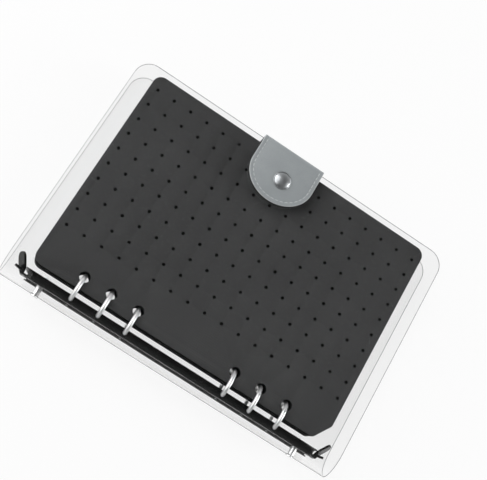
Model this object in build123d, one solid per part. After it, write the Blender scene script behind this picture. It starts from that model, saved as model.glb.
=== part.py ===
from build123d import *
from math import acos, asin, atan2, degrees, hypot, radians, sin, sqrt
import os

# Pin storage book: a clear sheet cover wrapped round a six ring binder with four
# punched pin pages, closed by a leather strap with a snap.
# All lengths are millimetres. X runs along the spine, +Y points from the spine to
# the fore-edge, +Z points up, and the book lies closed on its back cover.

# Cover: one clear sheet, bowed round the spine
COVER_MARGIN = 12.5
SHEET = 0.8
FORE_EDGE_Y = 145.9
FORE_CORNER_R = 11.0
COVER_GAP = 24.0
BOW_DEPTH = 16.8
BOW_START_Y = 1.1
CREASE_HEIGHT = 8.9
CREASE_SLIT = 0.2

# Pin pages, punched for the rings
PAGE_COUNT = 4
PAGE_LENGTH = 210.0
PAGE_WIDTH = 144.0
PAGE_THICK = 3.2
PAGE_SPACING = 0.4
PAGE_CORNER_R = 6.0
CLIP_X = 8.0
CLIP_Y = 12.0
CLIP_SOFT_R = 2.5
RING_HOLE_R = 3.5
RING_HOLE_EDGE = 8.0
OUTER_PAGE_HOLE_Y = 8.27
INNER_PAGE_HOLE_Y = 9.1

# Grid of pin holes on each page
PIN_COLUMNS = 17
PIN_ROWS = 10
PIN_PITCH_X = 12.43
PIN_PITCH_Y = 11.7
PIN_HOLE_R = 1.1
PIN_GRID_SHIFT = 9.6

# Page turning axes, measured from the ring centre
TURN_Y = 1.65
TURN_Z = 2.45

# Rings
RING_R = 10.3
WIRE_R = 1.4
RINGS_EACH_SIDE = 3
RING_FIRST_X = 35.0
RING_STEP = 19.0
RING_END_Y = 7.3
FOOT_R = 0.8
FOOT_EDGE = 1.1
TIP_GAP = 0.1
TIP_PIN_R = 0.6
TIP_PIN_LENGTH = 1.2
TIP_PIN_CLEARANCE = 0.05
RING_SLOT_CLEARANCE = 0.3

# Casing of the ring mechanism
CASING_HALF_WIDTH = 8.2
CASING_CROWN_Y = 3.9
CASING_ARCH_DEPTH = 3.0
CASING_SIDE_DEPTH = 3.6
CASING_WALL = 0.8
CASING_LIP = 0.7
CASING_END_R = 6.0

# Hinge plates inside the casing
PLATE_END_INSET = 7.0
PLATE_THICK = 0.8
PLATE_SEAT = 0.1
PLATE_MIDDLE_GAP = 0.3
PLATE_SIDE_GAP = 0.2
FOOT_CLEARANCE = 0.05
FOOT_STAND_OUT = 0.2
PLATE_NOTCH_CLEARANCE = 0.3

# Triggers at both ends of the mechanism
TRIGGER_THICK = 1.4
TONGUE_INSIDE = 6.7
TONGUE_OUTSIDE = 1.4
TONGUE_Y = 8.9
TONGUE_WIDTH = 6.0
TAB_OUTSIDE = 0.9
TAB_BASE_Y = 7.4
TAB_RUN_X = 6.2
TAB_RUN_Y = 9.4
TAB_WIDTH = 8.0
TAB_ROLL_DEGREES = 24.0
PRONG_RUN_X = 5.1
PRONG_RUN_Y = 1.1
PRONG_WIDTH = 3.0

# Rivets that hold the mechanism to the spine
RIVET_END_INSET = 13.0
RIVET_R = 1.3
RIVET_HEAD_R = 2.6
RIVET_HEAD_THICK = 0.6
CROWN_HEAD_R = 2.3
CROWN_HEAD_THICK = 0.4
RIVET_CLEARANCE = 0.05
SPACER_R = 2.2
SPACER_GAP = 0.15

# Strap: leather outside, thin lining inside, sewn to the back cover's inner face
STRAP_X = -4.0
STRAP_WIDTH = 45.0
LEATHER = 1.0
LINING = 0.7
LINING_INSET = 0.2
STRAP_SEAM = 6.0
STRAP_WALL_GAP = 0.3
FLAP_REACH = 36.4
FLAP_ROUND_DEPTH = 19.5
FOLD_SLIT = 0.3

# Stitches of the strap
STITCH_INSET = 2.5
STITCH_PITCH = 3.2
STITCH_LENGTH = 2.3
STITCH_WIDTH = 0.5
STITCH_HEIGHT = 0.3

# Snap fastener
SNAP_REACH = 20.2
SNAP_ASIDE = 1.6
CAP_R = 6.0
CAP_HEIGHT = 1.9
CAP_RIM = 0.5
CAP_POST_R = 1.3
SOCKET_R = 4.8
SOCKET_HEIGHT = 1.1
SOCKET_FLOOR = 0.3
STUD_R = 4.5
STUD_FLANGE = 0.45
STUD_NUB_R = 1.9
STUD_POST_R = 1.2
STUD_PEEN = 0.2
WASHER_R = 4.0
WASHER_THICK = 0.7
SNAP_GAP = 0.2
NUB_CLEARANCE = 0.2
NUB_TOP_GAP = 0.15
POST_CLEARANCE = 0.05

OVERRUN = 5.0
HALF_TURN_DEGREES = 180.0

# Lengths along the spine: the mechanism is as long as the pages
COVER_LENGTH = PAGE_LENGTH + 2 * COVER_MARGIN
CASING_LENGTH = PAGE_LENGTH
CASING_END_X = CASING_LENGTH / 2
PLATE_LENGTH = CASING_LENGTH - 2 * PLATE_END_INSET
RIVET_X = CASING_END_X - RIVET_END_INSET

# Heights measured from the ring centre, which is the middle of the book's thickness
INNER_FACE = COVER_GAP / 2
MID_FACE = INNER_FACE + SHEET / 2
OUTER_FACE = INNER_FACE + SHEET
FLAP_UNDER = OUTER_FACE + STUD_FLANGE + SNAP_GAP + SOCKET_HEIGHT
FOLD_TOP = FLAP_UNDER + LINING
FOLD_BOTTOM = LEATHER - INNER_FACE
FOLD_Y = FORE_EDGE_Y + STRAP_WALL_GAP + LINING
STRAP_OUTER_Y = FOLD_Y + LEATHER
SNAP_X = STRAP_X + SNAP_ASIDE
SNAP_Y = FOLD_Y - SNAP_REACH
SPINE_OUTER = BOW_DEPTH + SHEET / 2 - BOW_START_Y
REAR_Y = SPINE_OUTER + RIVET_HEAD_THICK

# Place of the ring centre: the origin is the middle of the underside
RING_CENTRE_Y = (REAR_Y - STRAP_OUTER_Y) / 2
RING_CENTRE_Z = OUTER_FACE
RING_CENTRE = Pos(0, RING_CENTRE_Y, RING_CENTRE_Z)

RINGS_ONE_SIDE = [RING_FIRST_X + number * RING_STEP for number in range(RINGS_EACH_SIDE)]
RING_PLACES = [-x for x in reversed(RINGS_ONE_SIDE)] + RINGS_ONE_SIDE
PLATE_BACK_Y = -(CASING_CROWN_Y + CASING_ARCH_DEPTH + CASING_SIDE_DEPTH - CASING_WALL - PLATE_SEAT)
PLATE_FRONT_Y = PLATE_BACK_Y + PLATE_THICK
CASING_BACK_Y = -(CASING_CROWN_Y + CASING_ARCH_DEPTH + CASING_SIDE_DEPTH)
PLATE_SIDE = CASING_HALF_WIDTH - CASING_WALL - PLATE_SIDE_GAP
FOOT_Z = PLATE_SIDE - FOOT_EDGE


def put(node, shape):
    """Move a shape from the ring centre to its place and write it as one node."""
    shape = RING_CENTRE * shape
    shape.label = node
    export_step(shape, f"parts/{node}.step")
    print(f"{node}: {len(shape.solids())} solids, {shape.volume:.1f} mm3")


def block(x0, x1, y0, y1, z0, z1):
    """A box between two corners."""
    place = Pos((x0 + x1) / 2, (y0 + y1) / 2, (z0 + z1) / 2)
    return place * Box(x1 - x0, y1 - y0, z1 - z0)


def rod_along_y(x, z, radius, y0, y1):
    """A round rod along Y between two places."""
    return Pos(x, (y0 + y1) / 2, z) * Rot(90, 0, 0) * Cylinder(radius, abs(y1 - y0))


def rod_along_z(x, y, radius, z0, z1):
    """A round rod along Z between two heights."""
    return Pos(x, y, (z0 + z1) / 2) * Cylinder(radius, abs(z1 - z0))


# Cover

def crease_point():
    """Outer face of the bowed sheet at the front crease, and its outward normal angle."""
    deep = BOW_DEPTH + SHEET / 2
    y = BOW_START_Y - deep * sqrt(1 - (CREASE_HEIGHT / OUTER_FACE) ** 2)
    angle = degrees(atan2(CREASE_HEIGHT / OUTER_FACE**2, (y - BOW_START_Y) / deep**2))
    return y, CREASE_HEIGHT, angle


def bow_faces():
    """Sections of the back lip, the spine and the front lip of the bowed sheet."""
    middle = Pos(BOW_START_Y, 0)
    outside = middle * Ellipse(BOW_DEPTH + SHEET / 2, OUTER_FACE)
    inside = middle * Ellipse(BOW_DEPTH - SHEET / 2, INNER_FACE)
    keep = Pos(BOW_START_Y - BOW_DEPTH, 0) * Rectangle(2 * BOW_DEPTH, 2 * COVER_GAP)
    y, z, angle = crease_point()
    slit = Rectangle(2 * (SHEET + OVERRUN), CREASE_SLIT)
    front_slit = Pos(y, z) * Rot(0, 0, angle) * slit
    back_slit = Pos(y, -z) * Rot(0, 0, -angle) * slit
    band = (outside - inside) & keep
    return (band - front_slit - back_slit).faces().sort_by(Axis.Y)


def along_spine(face, length):
    """A section in the YZ plane, made into a solid centred along X."""
    return Pos(-length / 2, 0, 0) * extrude(Plane.YZ * face, length, dir=(1, 0, 0))


def cover_panel():
    """The flat sheet of one cover, with its two round fore-edge corners."""
    depth = FORE_EDGE_Y - BOW_START_Y
    outline = Pos(0, BOW_START_Y + depth / 2) * Rectangle(COVER_LENGTH, depth)
    corners = outline.vertices().group_by(Axis.Y)[-1]
    outline = fillet(corners, FORE_CORNER_R)
    return Pos(0, 0, -SHEET / 2) * extrude(outline, SHEET)


def back_cover():
    lip = along_spine(bow_faces()[0], COVER_LENGTH)
    return Pos(0, 0, -MID_FACE) * cover_panel() + lip


def front_cover():
    lip = along_spine(bow_faces()[-1], COVER_LENGTH)
    post = rod_along_z(SNAP_X, SNAP_Y, STUD_POST_R + POST_CLEARANCE, 0, FLAP_UNDER)
    return Pos(0, 0, MID_FACE) * cover_panel() + lip - post


def spine_sheet():
    sheet = along_spine(bow_faces()[1], COVER_LENGTH)
    for x in (-RIVET_X, RIVET_X):
        sheet -= rod_along_y(x, 0, RIVET_R + RIVET_CLEARANCE, -REAR_Y - OVERRUN, 0)
    return sheet


# Ring mechanism

def arch(half_width, rise, sides, crown_y):
    """Section of an arched strip: half an ellipse on two straight sides."""
    spring = crown_y - rise
    dome = Pos(spring, 0) * Ellipse(rise, half_width)
    dome &= Pos(spring + rise / 2, 0) * Rectangle(rise, 2 * half_width)
    return dome + Pos(spring - sides / 2, 0) * Rectangle(sides, 2 * half_width)


def casing():
    outside = arch(CASING_HALF_WIDTH, CASING_ARCH_DEPTH, CASING_SIDE_DEPTH, -CASING_CROWN_Y)
    hollow = arch(
        CASING_HALF_WIDTH - CASING_WALL,
        CASING_ARCH_DEPTH - CASING_WALL,
        CASING_SIDE_DEPTH - CASING_WALL,
        -CASING_CROWN_Y - CASING_WALL,
    )
    mouth_width = 2 * (CASING_HALF_WIDTH - CASING_WALL - CASING_LIP)
    mouth = Pos(CASING_BACK_Y, 0) * Rectangle(2 * CASING_SIDE_DEPTH, mouth_width)
    strip = along_spine(outside - hollow - mouth, CASING_LENGTH)
    ends = Plane.XZ * RectangleRounded(CASING_LENGTH, 2 * CASING_HALF_WIDTH, CASING_END_R)
    strip &= extrude(ends, -CASING_BACK_Y + OVERRUN, both=True)
    for x in RING_PLACES:
        strip -= Pos(x, 0, 0) * Rot(0, 90, 0) * Torus(RING_R, WIRE_R + RING_SLOT_CLEARANCE)
    for x in (-RIVET_X, RIVET_X):
        strip -= rod_along_y(x, 0, RIVET_R + RIVET_CLEARANCE, CASING_BACK_Y, 0)
    return strip


def hinge_plate(side):
    """One of the two plates that carry the ring feet: side is +1 above, -1 below."""
    inner = side * PLATE_MIDDLE_GAP / 2
    outer = side * PLATE_SIDE
    plate = block(
        -PLATE_LENGTH / 2, PLATE_LENGTH / 2, PLATE_BACK_Y, PLATE_FRONT_Y, min(inner, outer), max(inner, outer)
    )
    for x in RING_PLACES:
        plate -= rod_along_y(x, side * FOOT_Z, FOOT_R + FOOT_CLEARANCE, CASING_BACK_Y, 0)
    for x in (-RIVET_X, RIVET_X):
        plate -= rod_along_y(x, 0, SPACER_R + PLATE_NOTCH_CLEARANCE, CASING_BACK_Y, 0)
    return plate


def ring_half(side):
    """Half a ring with its straight foot: side is +1 above, -1 below."""
    start = degrees(asin(TIP_GAP / 2 / RING_R))
    end = degrees(acos(-RING_END_Y / RING_R))
    wire = Pos(0, RING_R, 0) * Circle(WIRE_R)
    half = Rot(start, 0, 0) * revolve(wire, Axis.X, end - start)
    half += Pos(0, -RING_END_Y, RING_R * sin(radians(end))) * Sphere(WIRE_R)
    half += rod_along_y(0, FOOT_Z, FOOT_R, -RING_END_Y, PLATE_BACK_Y - FOOT_STAND_OUT)
    if side > 0:
        return half + rod_along_z(0, RING_R, TIP_PIN_R, -TIP_PIN_LENGTH, TIP_GAP)
    half = mirror(half, Plane.XY)
    socket_r = TIP_PIN_R + TIP_PIN_CLEARANCE
    return half - rod_along_z(0, RING_R, socket_r, -TIP_PIN_LENGTH - TIP_PIN_CLEARANCE, 0)


def blade(x, y, run_x, run_y, width, roll):
    """A flat blade with round ends, standing on a line in the XY plane."""
    run = hypot(run_x, run_y)
    outline = RectangleRounded(run + TRIGGER_THICK, width, (width - TRIGGER_THICK / 4) / 2)
    plate = Rot(90, 0, 0) * extrude(outline, TRIGGER_THICK / 2, both=True)
    heading = degrees(atan2(run_y, run_x))
    return Pos(x + run_x / 2, y + run_y / 2, 0) * Rot(0, 0, heading) * Rot(-roll, 0, 0) * plate


def trigger(side):
    """Bent opening lever at one end: side is +1 at the +X end, -1 at the other."""
    base_x = CASING_END_X + TAB_OUTSIDE
    lever = block(
        CASING_END_X - TONGUE_INSIDE, CASING_END_X + TONGUE_OUTSIDE,
        -TONGUE_Y - TRIGGER_THICK / 2, -TONGUE_Y + TRIGGER_THICK / 2,
        -TONGUE_WIDTH / 2, TONGUE_WIDTH / 2,
    )
    lever += blade(base_x, -TAB_BASE_Y, TAB_RUN_X, TAB_RUN_Y, TAB_WIDTH, TAB_ROLL_DEGREES)
    lever += blade(base_x, -TAB_BASE_Y, PRONG_RUN_X, PRONG_RUN_Y, PRONG_WIDTH, 0)
    knuckle_y = -(TAB_BASE_Y + TONGUE_Y) / 2
    lever += rod_along_z(base_x, knuckle_y, TRIGGER_THICK, -PRONG_WIDTH / 2, PRONG_WIDTH / 2)
    return lever if side > 0 else mirror(lever, Plane.YZ)


def inner_bow_y(z):
    """Y of the sheet's inner face at a height from the ring centre."""
    return BOW_START_Y - (BOW_DEPTH - SHEET / 2) * sqrt(1 - (z / INNER_FACE) ** 2)


def inner_arch_y(z):
    """Y of the casing's inner face at a height from the ring centre."""
    spring = -CASING_CROWN_Y - CASING_ARCH_DEPTH
    half_width = CASING_HALF_WIDTH - CASING_WALL
    return spring + (CASING_ARCH_DEPTH - CASING_WALL) * sqrt(1 - (z / half_width) ** 2)


def rivet():
    body = rod_along_y(0, 0, RIVET_R, -REAR_Y, -CASING_CROWN_Y + CROWN_HEAD_THICK)
    body += rod_along_y(0, 0, RIVET_HEAD_R, -REAR_Y, -SPINE_OUTER)
    return body + rod_along_y(0, 0, CROWN_HEAD_R, -CASING_CROWN_Y, -CASING_CROWN_Y + CROWN_HEAD_THICK)


def spacer():
    start = inner_bow_y(SPACER_R) + SPACER_GAP
    end = inner_arch_y(SPACER_R) - SPACER_GAP
    tube = rod_along_y(0, 0, SPACER_R, start, end)
    return tube - rod_along_y(0, 0, RIVET_R + RIVET_CLEARANCE, start, end)


# Pages

def page(hole_y):
    """One pin page lying on its own underside, with its ring holes at hole_y."""
    edge_y = hole_y - RING_HOLE_EDGE
    middle_y = edge_y + PAGE_WIDTH / 2
    outline = Pos(0, middle_y) * Rectangle(PAGE_LENGTH, PAGE_WIDTH)
    clip = Polyline(
        (PAGE_LENGTH / 2 - CLIP_X, edge_y - OVERRUN),
        (PAGE_LENGTH / 2 - CLIP_X, edge_y),
        (PAGE_LENGTH / 2, edge_y + CLIP_Y),
        (PAGE_LENGTH / 2 + OVERRUN, edge_y + CLIP_Y),
        (PAGE_LENGTH / 2 + OVERRUN, edge_y - OVERRUN),
        (PAGE_LENGTH / 2 - CLIP_X, edge_y - OVERRUN),
    )
    outline -= make_face(clip)
    limit = middle_y + PAGE_WIDTH / 4
    fore = [v for v in outline.vertices() if v.Y > limit or v.X < -PAGE_LENGTH / 4]
    outline = fillet(fore, PAGE_CORNER_R)
    clipped = [v for v in outline.vertices() if v.Y < limit and v.X > PAGE_LENGTH / 4]
    outline = fillet(clipped, CLIP_SOFT_R)
    rings = [Pos(x, hole_y) * Circle(RING_HOLE_R) for x in RING_PLACES]
    pins = GridLocations(PIN_PITCH_X, PIN_PITCH_Y, PIN_COLUMNS, PIN_ROWS)
    holes = [Pos(0, middle_y + PIN_GRID_SHIFT) * spot * Circle(PIN_HOLE_R) for spot in pins]
    return extrude(outline - rings - holes, PAGE_THICK)


def page_bottom(number):
    """Height of the underside of a page, counted from the front cover."""
    step = PAGE_THICK + PAGE_SPACING
    stack = PAGE_COUNT * step - PAGE_SPACING
    return stack / 2 - PAGE_THICK - (number - 1) * step


def page_hole_y(number):
    """The outer pages hang nearer the spine than the inner ones, as the rings curve."""
    return OUTER_PAGE_HOLE_Y if number in (1, PAGE_COUNT) else INNER_PAGE_HOLE_Y


# Strap

def flap_outline(inset):
    """Plan of the flap: straight sides that end in half an ellipse."""
    half_width = STRAP_WIDTH / 2 - inset
    tip_y = FOLD_Y - FLAP_REACH + inset
    round_y = FOLD_Y - FLAP_REACH + FLAP_ROUND_DEPTH
    fold_y = FOLD_Y - FOLD_SLIT
    straight = Pos(STRAP_X, (round_y + fold_y) / 2) * Rectangle(2 * half_width, fold_y - round_y)
    dome = Pos(STRAP_X, round_y) * Ellipse(half_width, round_y - tip_y)
    dome &= Pos(STRAP_X, (tip_y + round_y) / 2) * Rectangle(2 * half_width, round_y - tip_y)
    return straight + dome


def flap_layer(inset, bottom, thickness):
    """One layer of the flap, with the hole for the snap's post."""
    layer = Pos(0, 0, bottom) * extrude(flap_outline(inset), thickness)
    return layer - rod_along_z(SNAP_X, SNAP_Y, CAP_POST_R + POST_CLEARANCE, 0, bottom + OVERRUN)


def strap_layer(inset, y0, y1, z0, z1):
    """One straight stretch of strap between two corners of its section."""
    half_width = STRAP_WIDTH / 2 - inset
    return block(STRAP_X - half_width, STRAP_X + half_width, y0, y1, z0, z1)


def stitches_along(path, height):
    """A row of stitches on a path that lies at one height."""
    count = round(path.length / STITCH_PITCH)
    row = []
    for number in range(count):
        share = (number + 0.5) / count
        spot = path @ share
        along = path % share
        heading = degrees(atan2(along.Y, along.X))
        stitch = Box(STITCH_LENGTH, STITCH_WIDTH, STITCH_HEIGHT)
        row.append(Pos(spot.X, spot.Y, height + STITCH_HEIGHT / 2) * Rot(0, 0, heading) * stitch)
    return row


def flap_stitches():
    """Stitches on the leather, all round the flap inside its edge."""
    half_width = STRAP_WIDTH / 2 - STITCH_INSET
    round_y = FOLD_Y - FLAP_REACH + FLAP_ROUND_DEPTH
    fold_y = FOLD_Y - FOLD_SLIT
    row = []
    for side in (-1, 1):
        x = STRAP_X + side * half_width
        row += stitches_along(Line((x, fold_y), (x, round_y)), FOLD_TOP + LEATHER)
    round_depth = FLAP_ROUND_DEPTH - STITCH_INSET
    arc = EllipticalCenterArc(
        (STRAP_X, round_y), half_width, round_depth, HALF_TURN_DEGREES, arc_size=HALF_TURN_DEGREES
    )
    row += stitches_along(arc, FOLD_TOP + LEATHER)
    return Compound(children=row)


def base_stitches():
    """Seam that sews the strap to the back cover's inner face, seen on the lining."""
    half_width = STRAP_WIDTH / 2 - STITCH_INSET
    y = FORE_EDGE_Y - STRAP_SEAM + STITCH_INSET
    line = Line((STRAP_X - half_width, y), (STRAP_X + half_width, y))
    return Compound(children=stitches_along(line, FOLD_BOTTOM + LINING))


# Snap fastener

def snap_cap():
    """Domed cap on the leather with the post that goes through the flap."""
    leather_top = FOLD_TOP + LEATHER
    rise = CAP_HEIGHT - CAP_RIM
    ball_r = (CAP_R**2 + rise**2) / (2 * rise)
    ball = Pos(SNAP_X, SNAP_Y, leather_top + CAP_HEIGHT - ball_r) * Sphere(ball_r)
    cap = ball & rod_along_z(SNAP_X, SNAP_Y, CAP_R, leather_top, leather_top + CAP_HEIGHT)
    post_end = FLAP_UNDER - SOCKET_FLOOR
    return cap + rod_along_z(SNAP_X, SNAP_Y, CAP_POST_R, post_end, leather_top + CAP_RIM)


def snap_socket():
    """Socket under the lining, open below for the stud."""
    bottom = FLAP_UNDER - SOCKET_HEIGHT
    socket = rod_along_z(SNAP_X, SNAP_Y, SOCKET_R, bottom, FLAP_UNDER)
    socket -= rod_along_z(SNAP_X, SNAP_Y, STUD_NUB_R + NUB_CLEARANCE, bottom, FLAP_UNDER - SOCKET_FLOOR)
    return socket - rod_along_z(SNAP_X, SNAP_Y, CAP_POST_R + POST_CLEARANCE, bottom, FLAP_UNDER)


def snap_stud():
    """Stud on the front cover with the post that goes through the sheet."""
    nub_top = FLAP_UNDER - SOCKET_FLOOR - NUB_TOP_GAP
    stud = rod_along_z(SNAP_X, SNAP_Y, STUD_R, OUTER_FACE, OUTER_FACE + STUD_FLANGE)
    stud += rod_along_z(SNAP_X, SNAP_Y, STUD_NUB_R, OUTER_FACE, nub_top)
    post_end = INNER_FACE - WASHER_THICK - STUD_PEEN
    return stud + rod_along_z(SNAP_X, SNAP_Y, STUD_POST_R, post_end, OUTER_FACE)


def snap_washer():
    """Dark washer under the front cover, round the stud's post."""
    washer = rod_along_z(SNAP_X, SNAP_Y, WASHER_R, INNER_FACE - WASHER_THICK, INNER_FACE)
    return washer - rod_along_z(SNAP_X, SNAP_Y, STUD_POST_R + POST_CLEARANCE, 0, INNER_FACE)


os.makedirs("parts", exist_ok=True)

put("back_cover", back_cover())
put("spine_sheet", spine_sheet())
put("front_cover", front_cover())

put("mechanism_casing", casing())
put("hinge_plate_upper", hinge_plate(1))
put("hinge_plate_lower", hinge_plate(-1))
for number, x in enumerate(RING_PLACES, start=1):
    put(f"ring_{number}_upper", Pos(x, 0, 0) * ring_half(1))
    put(f"ring_{number}_lower", Pos(x, 0, 0) * ring_half(-1))
for name, side in (("left", -1), ("right", 1)):
    put(f"trigger_{name}", trigger(side))
    put(f"spine_rivet_{name}", Pos(side * RIVET_X, 0, 0) * rivet())
    put(f"rivet_spacer_{name}", Pos(side * RIVET_X, 0, 0) * spacer())

for number in range(1, PAGE_COUNT + 1):
    put(f"pin_page_{number}", Pos(0, 0, page_bottom(number)) * page(page_hole_y(number)))

seam_y = FORE_EDGE_Y - STRAP_SEAM
put("strap_base", strap_layer(0, seam_y, FOLD_Y - FOLD_SLIT, -INNER_FACE, FOLD_BOTTOM))
base_lining = strap_layer(LINING_INSET, seam_y, FORE_EDGE_Y, FOLD_BOTTOM, FOLD_BOTTOM + LINING)
put("strap_base_lining", base_lining)
put("strap_base_stitches", base_stitches())
put("strap_wall", strap_layer(0, FOLD_Y, STRAP_OUTER_Y, FOLD_BOTTOM + FOLD_SLIT, FOLD_TOP - FOLD_SLIT))
wall_top = FLAP_UNDER - FOLD_SLIT
wall_lining = strap_layer(LINING_INSET, FOLD_Y - LINING, FOLD_Y, FOLD_BOTTOM + FOLD_SLIT, wall_top)
put("strap_wall_lining", wall_lining)
put("strap_flap", flap_layer(0, FOLD_TOP, LEATHER))
put("strap_flap_lining", flap_layer(LINING_INSET, FLAP_UNDER, LINING))
put("strap_flap_stitches", flap_stitches())
put("snap_cap", snap_cap())
put("snap_socket", snap_socket())
put("snap_stud", snap_stud())
put("snap_washer", snap_washer())

crease_y, crease_z, crease_angle = crease_point()
print("ring centre", RING_CENTRE_Y, RING_CENTRE_Z)
print("crease axes", RING_CENTRE_Y + crease_y, RING_CENTRE_Z + crease_z, RING_CENTRE_Z - crease_z)
print("page axes", RING_CENTRE_Y + TURN_Y, RING_CENTRE_Z + TURN_Z, RING_CENTRE_Z - TURN_Z)
print("strap axes", RING_CENTRE_Y + FOLD_Y, RING_CENTRE_Z + FOLD_BOTTOM, RING_CENTRE_Z + FOLD_TOP)
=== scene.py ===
import logging
import math
from dataclasses import dataclass
from enum import Enum

import bmesh
import bpy
from mathutils import Matrix, Vector


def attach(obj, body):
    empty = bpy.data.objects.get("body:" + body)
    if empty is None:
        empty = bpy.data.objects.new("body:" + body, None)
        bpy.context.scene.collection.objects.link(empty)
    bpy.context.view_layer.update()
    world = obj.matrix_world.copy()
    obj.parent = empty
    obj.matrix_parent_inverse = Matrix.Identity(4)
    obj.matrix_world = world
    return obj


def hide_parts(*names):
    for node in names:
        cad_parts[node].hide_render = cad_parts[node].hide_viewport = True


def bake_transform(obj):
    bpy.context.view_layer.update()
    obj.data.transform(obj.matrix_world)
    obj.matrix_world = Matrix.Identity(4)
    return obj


# A pin storage book: a clear sheet cover bent round a black six ring mechanism, four
# punched cloth pages, and a grey strap with a snap. Objects are in metres, in the frame of
# the solid model: X along the spine, +Y to the fore-edge, +Z up. The book's own sizes are
# in millimetres, and its places are measured from the ring centre.

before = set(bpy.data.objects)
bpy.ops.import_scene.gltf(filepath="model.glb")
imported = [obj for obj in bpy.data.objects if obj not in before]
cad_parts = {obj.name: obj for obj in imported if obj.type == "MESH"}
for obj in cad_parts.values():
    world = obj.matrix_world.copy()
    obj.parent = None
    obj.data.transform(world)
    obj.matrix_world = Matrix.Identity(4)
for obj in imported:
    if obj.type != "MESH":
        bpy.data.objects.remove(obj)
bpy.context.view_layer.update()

LOG = logging.getLogger("pin_book")
MM = 0.001
RING_CENTRE = Vector((0.0, -65.6, 12.8)) * MM
SMOOTH_ANGLE = math.radians(32)
RIM_ANGLE = math.radians(60)
RIM_SEGMENTS = 3
MERGE_DISTANCE = 1e-7
MIDDLE_SPAN = (0.3, 0.7)
PAGE_COUNT = 4

Tree = bpy.types.NodeTree
Node = bpy.types.Node
Socket = bpy.types.NodeSocket
Shape = bmesh.types.BMesh
Pair = tuple[float, float]
Triple = tuple[float, float, float]


# Small helpers


def linear(colour: str) -> tuple[float, float, float, float]:
    """Turn an sRGB hex colour into linear values.

    Args:
        colour: The colour as "#rrggbb".

    Returns:
        Red, green, blue and an alpha of 1.
    """
    values = [int(colour[place:place + 2], 16) / 255 for place in (1, 3, 5)]
    red, green, blue = [v / 12.92 if v <= 0.04045 else ((v + 0.055) / 1.055) ** 2.4 for v in values]
    return red, green, blue, 1.0


def per(size_mm: float) -> float:
    """Texture scale at which a pattern repeats once in size_mm millimetres."""
    return 1 / (size_mm * MM)


def add_node(
    tree: Tree,
    kind: str,
    settings: dict | None = None,
    inputs: dict | None = None,
    links: dict | None = None,
) -> Node:
    """Add a node with its settings and links.

    Args:
        tree: The node tree that gets the node.
        kind: The node's type name.
        settings: Properties of the node, by name.
        inputs: Values of input sockets, by name or place.
        links: Output sockets to link, by the name or place of the input.

    Returns:
        The new node.
    """
    node = tree.nodes.new(kind)
    for name, value in (settings or {}).items():
        setattr(node, name, value)
    for name, value in (inputs or {}).items():
        node.inputs[name].default_value = value
    for name, socket in (links or {}).items():
        tree.links.new(socket, node.inputs[name])
    return node


def local(x: float, y: float, z: float) -> Vector:
    """Place of a point that is given in millimetres from the ring centre."""
    return RING_CENTRE + Vector((x, y, z)) * MM


def recalculate(shape: Shape) -> None:
    """Merge doubles and turn every face outwards."""
    bmesh.ops.remove_doubles(shape, verts=shape.verts, dist=MERGE_DISTANCE)
    bmesh.ops.recalc_face_normals(shape, faces=shape.faces)


def round_rims(shape: Shape, rims: list[bmesh.types.BMEdge], width: float) -> list[bmesh.types.BMFace]:
    """Round the given edges.

    Args:
        shape: The bmesh that they belong to.
        rims: The edges.
        width: Width of the rounding.

    Returns:
        The faces of the rounding.
    """
    return bmesh.ops.bevel(
        shape, geom=rims, offset=width, offset_type="OFFSET", segments=RIM_SEGMENTS, profile=0.5,
        material=-1, affect="EDGES", clamp_overlap=True,
    )["faces"]


# Finishes


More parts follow.
